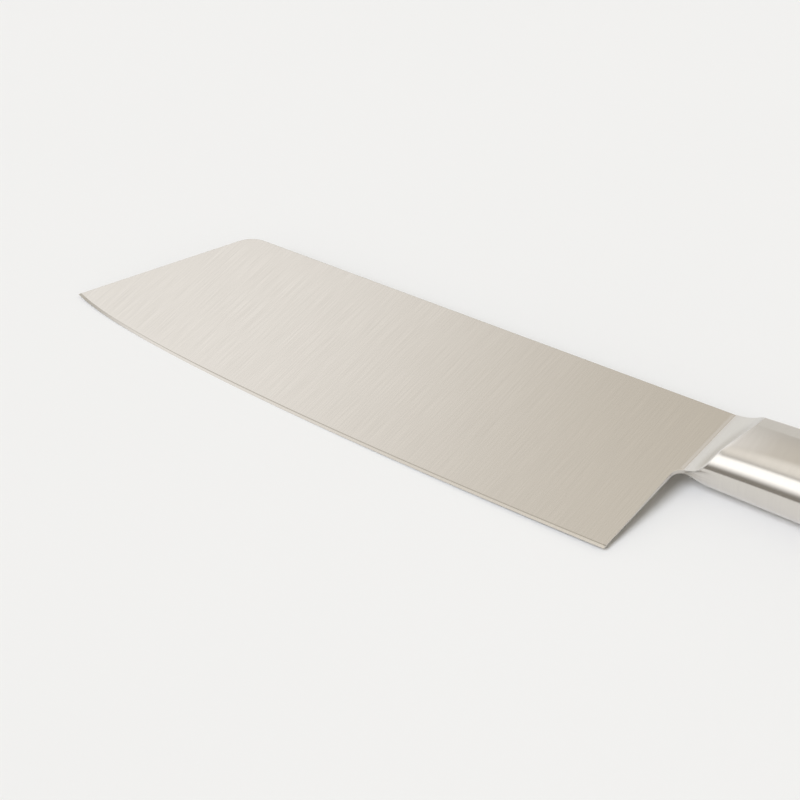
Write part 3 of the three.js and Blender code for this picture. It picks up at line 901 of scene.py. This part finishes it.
@dataclass
class WeldedGrip:
    """The two pressed halves, the butt cap and the welds between them, all ground flush."""

    form: HandleForm
    length_steps: int = 60
    rim_steps: int = 8
    bead_steps: int = 4

    def stations(self) -> Array:
        """Gives the places of the rings along the halves."""
        form = self.form
        return np.linspace(form.bolster_end + form.weld_width, form.shell_end, self.length_steps + 1)

    def half_skin(self, side: Side) -> Skin:
        """Stretches the skin of one pressed half, outside and inside.

        Args:
            side: Side of the handle that the half is on.

        Returns:
            The half's skin.
        """
        form = self.form
        seam = form.weld_width / 2
        rings, grain = [], []
        for x in self.stations():
            outer = form.half_ring(x, 0.0, seam)
            inner = form.half_ring(x, form.wall, seam)[::-1]
            rings.append(np.vstack([outer, inner]) * (1, 1, side.value))
            grain.append(np.vstack([form.grain_of(outer), form.grain_of(outer)[::-1]]))
        return loft(rings, grain)

    def ring_weld_skin(self, start: float) -> Skin:
        """Stretches the skin of a weld round the handle.

        Args:
            start: Where the weld starts along the drawing.

        Returns:
            The weld's skin.
        """
        form = self.form
        end = start + form.weld_width
        bands = [(start, 0.0), (end, 0.0), (end, form.wall), (start, form.wall)]
        return form.round_skin([form.half_ring(x, inset) for x, inset in bands], endless=True)

    def seam_weld_skin(self, seam: Seam) -> Skin:
        """Stretches the skin of a weld along the handle.

        Args:
            seam: Which of the two welds it is.

        Returns:
            The weld's skin.
        """
        form = self.form
        rings, grain = [], []
        for x in self.stations():
            top, bottom, half = form.size_at(x)
            z = np.linspace(-form.weld_width / 2, form.weld_width / 2, self.bead_steps + 1)
            if seam is Seam.SPINE:
                outer, inward = np.full_like(z, top), -form.wall
            else:
                outer, inward = bottom + form.belly_stretch * (half - np.sqrt(half**2 - z**2)), form.wall
            y = np.concatenate([outer, outer[::-1] + inward])
            across = np.concatenate([z, z[::-1]])
            rings.append(np.column_stack([np.full_like(y, x), y, across]))
            grain.append(np.column_stack([np.full_like(y, x), across]))
        return loft(rings, grain)

    def butt_skin(self) -> Skin:
        """Stretches the skin of the butt cap.

        Returns:
            The cap's skin, with its rounded rim.
        """
        form = self.form
        halves = [form.half_ring(form.end - form.butt_length)]
        for angle in np.linspace(0, math.pi / 2, self.rim_steps + 1):
            x = form.end - form.butt_radius * (1 - math.sin(angle))
            halves.append(form.half_ring(x, form.butt_radius * (1 - math.cos(angle))))
        return form.round_skin(halves)

    def build(self, steel: Material) -> None:
        """Makes the halves, the cap and the welds and dresses them.

        Args:
            steel: What they wear.
        """
        form = self.form
        for side in Side:
            name = side.name.lower()
            self.half_skin(side).piece(f"handle_half_{name}", steel, Slot.HANDLE, f"handle_shell_{name}")
        for name, start in (("front", form.bolster_end), ("rear", form.shell_end)):
            self.ring_weld_skin(start).piece(f"{name}_ring_bead", steel, Slot.HANDLE, f"{name}_ring_weld")
        for seam in Seam:
            name = f"{seam.value}_seam"
            self.seam_weld_skin(seam).piece(f"{name}_bead", steel, Slot.HANDLE, f"{name}_weld")
        self.butt_skin().piece("butt_end", steel, Slot.HANDLE, "butt_cap")


@dataclass
class InnerPieces:
    """The balance weight and its rivets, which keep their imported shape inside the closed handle."""

    nodes: tuple[str, ...] = ("balance_weight", "tang_rivet_front", "tang_rivet_rear")

    def dress(self, steel: Material) -> None:
        """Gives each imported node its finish.

        Args:
            steel: What the nodes wear.
        """
        for node in self.nodes:
            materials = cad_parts[node].data.materials
            materials.clear()
            materials.append(steel)
            LOG.info("%s keeps its packed shape", node)


@dataclass(frozen=True)
class Border:
    """A soft border in the room, at which one zone gives way to another."""

    whole: Zone  # what the two zones make up
    before: Zone
    beyond: Zone
    way: Way  # direction that leads across the border
    start: float  # cosine of the angle to that direction at which the border starts
    end: float  # and at which it ends


@dataclass
class Room:
    """The room round the table: even for the table's light and the picture, and zoned for the steel.

    The zones are fitted to what the photograph shows on the blade and the handle.
    """

    background_hex: str = "F2F2EF"  # what the picture shows beyond the table
    fill_hex: str = "C1BEB4"  # what the room adds to the table's light, warm beside the key light

    COLOURS = {
        Zone.WINDOW: (1.3, 1.31, 1.35, 1.0),
        Zone.BACK: to_linear("D3CCC0"),
        Zone.SHADE: to_linear("ACA79E"),
        Zone.WALL: to_linear("E2E0DC"),
        Zone.END: to_linear("FFFEFA"),
        Zone.CEILING: (1.09, 1.06, 1.01, 1.0),
        Zone.NEAR: to_linear("94908A"),
        Zone.SOFT_BOX: (1.6, 1.6, 1.6, 1.0),
    }
    BORDERS = (  # painted in this order
        Border(Zone.BACK, Zone.SHADE, Zone.BACK, Way.UP, 0.69, 0.77),
        Border(Zone.BACK, Zone.BACK, Zone.WINDOW, Way.TIP, 0.41, 0.59),
        Border(Zone.WALL, Zone.WALL, Zone.END, Way.BUTT, -0.4, -0.75),
        Border(Zone.BACK, Zone.WALL, Zone.BACK, Way.UP, 0.62, 0.76),
        Border(Zone.BACK, Zone.BACK, Zone.CEILING, Way.UP, 0.8, 0.96),
        Border(Zone.BESIDE, Zone.WALL, Zone.NEAR, Way.UP, 0.66, 0.8),
        Border(Zone.FRONT, Zone.NEAR, Zone.SOFT_BOX, Way.UP, 0.2, 0.62),
        Border(Zone.FRONT, Zone.FRONT, Zone.NEAR, Way.UP, 0.82, 0.89),
        Border(Zone.FRONT, Zone.FRONT, Zone.BESIDE, Way.BUTT, -0.5, -0.62),
        Border(Zone.FRONT, Zone.FRONT, Zone.CEILING, Way.UP, 0.87, 0.915),
        Border(Zone.ROOM, Zone.FRONT, Zone.BACK, Way.BEHIND, -0.44, -0.36),
    )

    def zoned(self, tree: NodeTree, axes: Matrix) -> NodeSocket:
        """Paints the zones.

        Args:
            tree: Node tree of the room.
            axes: The table's axes as columns.

        Returns:
            The colour that the steel mirrors.
        """
        sight = add_node(tree, "TexCoord").outputs["Generated"]
        levels = {}
        for way in Way:
            pair = {0: sight, 1: tuple(axes @ Vector(way.value))}
            levels[way] = add_node(tree, "VectorMath", pair, operation="DOT_PRODUCT").outputs["Value"]
        zones = dict(self.COLOURS)
        for border in self.BORDERS:
            span = {"Value": levels[border.way], "From Min": border.start, "From Max": border.end}
            share = add_node(tree, "MapRange", span, interpolation_type="SMOOTHSTEP").outputs[0]
            pair = {FACTOR: share, COLOUR_A: zones[border.before], COLOUR_B: zones[border.beyond]}
            zones[border.whole] = add_node(tree, "Mix", pair, data_type="RGBA").outputs[MIXED_COLOUR]
        return zones[Zone.ROOM]

    def build(self, axes: Matrix) -> None:
        """Makes the world that holds the room.

        Args:
            axes: The table's axes as columns.
        """
        world = bpy.data.worlds.new("room")
        bpy.context.scene.world = world
        world.use_nodes = True
        tree = world.node_tree
        tree.nodes.clear()
        path = add_node(tree, "LightPath").outputs
        fill, backdrop = to_linear(self.fill_hex), to_linear(self.background_hex)
        lit = {FACTOR: path["Is Glossy Ray"], COLOUR_A: fill, COLOUR_B: self.zoned(tree, axes)}
        colour = add_node(tree, "Mix", lit, data_type="RGBA").outputs[MIXED_COLOUR]
        shown = {FACTOR: path["Is Camera Ray"], COLOUR_A: colour, COLOUR_B: backdrop}
        colour = add_node(tree, "Mix", shown, data_type="RGBA").outputs[MIXED_COLOUR]
        background = add_node(tree, "Background", {"Color": colour})
        add_node(tree, "OutputWorld", {"Surface": background.outputs[0]})


@dataclass
class Studio:
    """A pale table under one wide key light, in a room that the steel mirrors."""

    room: Room = field(default_factory=Room)
    upright: Triple = (0.0127, 0.1818, 0.9833)  # the photograph's vertical
    eye: Triple = (214.95, -387.74, 463.57)  # camera, in the drawing
    target: Triple = (-78.17, -36.94, 0.0)  # middle of the picture, in the drawing
    focal_pixels: float = 2300.0
    image_pixels: float = 800.0  # across the photograph
    sensor: float = 36.0
    table_size: float = 6.0  # metres
    touch_place: float = -130.0  # where the cutting edge touches the table, along the drawing
    key_heading: Triple = (-0.175, -0.625, 0.76)  # towards the key light, on the table's axes
    key_angle: float = math.radians(34)  # across the key light, as the table sees it
    key_strength: float = 2.24
    key_hex: str = "F1F6FF"

    def camera(self) -> None:
        """Sets up the camera where the photograph was taken from."""
        eye, target = Vector(in_frame(self.eye)), Vector(in_frame(self.target))
        forward = (target - eye).normalized()
        right = forward.cross(Vector(self.upright)).normalized()
        up = right.cross(forward)
        data = bpy.data.cameras.new("camera")
        data.sensor_width = self.sensor
        data.lens = self.focal_pixels / self.image_pixels * self.sensor
        camera = add_object("camera", data)
        turn = Matrix((right, up, -forward)).transposed().to_4x4()
        camera.matrix_world = Matrix.Translation(eye) @ turn
        bpy.context.scene.camera = camera

    def resting_plane(self) -> tuple[Vector, Vector]:
        """Finds the plane that touches the cutting edge behind the tip and the handle's right side.

        Returns:
            A point of the plane and its upward normal.
        """
        hull = bmesh.new()
        of_blade = hull.verts.layers.int.new("of_blade")
        for name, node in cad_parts.items():
            for vertex in node.data.vertices:
                hull.verts.new(vertex.co)[of_blade] = int(name == "blade")
        bmesh.ops.convex_hull(hull, input=hull.verts)
        hull.normal_update()
        spanning = [f for f in hull.faces if f.normal.z < 0 and len({v[of_blade] for v in f.verts}) == 2]
        touch = in_frame((self.touch_place, 0, 0))[0]
        facet = min(spanning, key=lambda f: min(abs(v.co.x - touch) for v in f.verts))
        point, normal = facet.verts[0].co.copy(), -facet.normal
        hull.free()
        return point, normal

    def table(self, board: Material) -> Matrix:
        """Lays the table under the knife.

        Args:
            board: What the table wears.

        Returns:
            The table's axes as columns: towards the butt, towards the back and up.
        """
        point, normal = self.resting_plane()
        middle = (CAD_BOX[0] + CAD_BOX[1]) / 2
        centre = middle - normal * (middle - point).dot(normal)
        mesh = bpy.data.meshes.new("table")
        reach = self.table_size / 2
        corners = [(-reach, -reach, 0), (reach, -reach, 0), (reach, reach, 0), (-reach, reach, 0)]
        mesh.from_pydata(corners, [], [(0, 1, 2, 3)])
        mesh.materials.append(board)
        table = add_object("table", mesh)
        back = (Vector((0, 1, 0)) - normal * normal.y).normalized()
        axes = Matrix((back.cross(normal), back, normal)).transposed()
        table.matrix_world = Matrix.Translation(centre) @ axes.to_4x4()
        return axes

    def key_light(self, axes: Matrix) -> None:
        """Hangs the key light, wide and far off, which lights the table and leaves the steel to the room.

        Args:
            axes: The table's axes as columns.
        """
        towards = (axes @ Vector(self.key_heading)).normalized()
        data = bpy.data.lights.new("key_light", "SUN")
        data.angle = self.key_angle
        data.energy = self.key_strength
        data.color = to_linear(self.key_hex)[:3]
        light = add_object("key_light", data)
        light.visible_glossy = False
        light.matrix_world = towards.to_track_quat("Z", "Y").to_matrix().to_4x4()

    def build(self) -> None:
        """Sets up the camera, the table and the light."""
        self.camera()
        axes = self.table(LacqueredBoard().material())
        self.key_light(axes)
        self.room.build(axes)
        bpy.context.scene.view_settings.view_transform = "Standard"


def main() -> None:
    """Builds the knife and the studio round it."""
    logging.basicConfig(level=logging.INFO)
    blade = BladePlate()
    form = HandleForm(blade)
    handle_steel = HANDLE_STEEL.material()
    blade.build(BLADE_STEEL.material(), SHADE_LINE_STEEL.material())
    Bolster(form).build(handle_steel, FLARE_STEEL.material())
    WeldedGrip(form).build(handle_steel)
    InnerPieces().dress(INNER_STEEL.material())
    Studio().build()


if __name__ == "__main__":
    main()
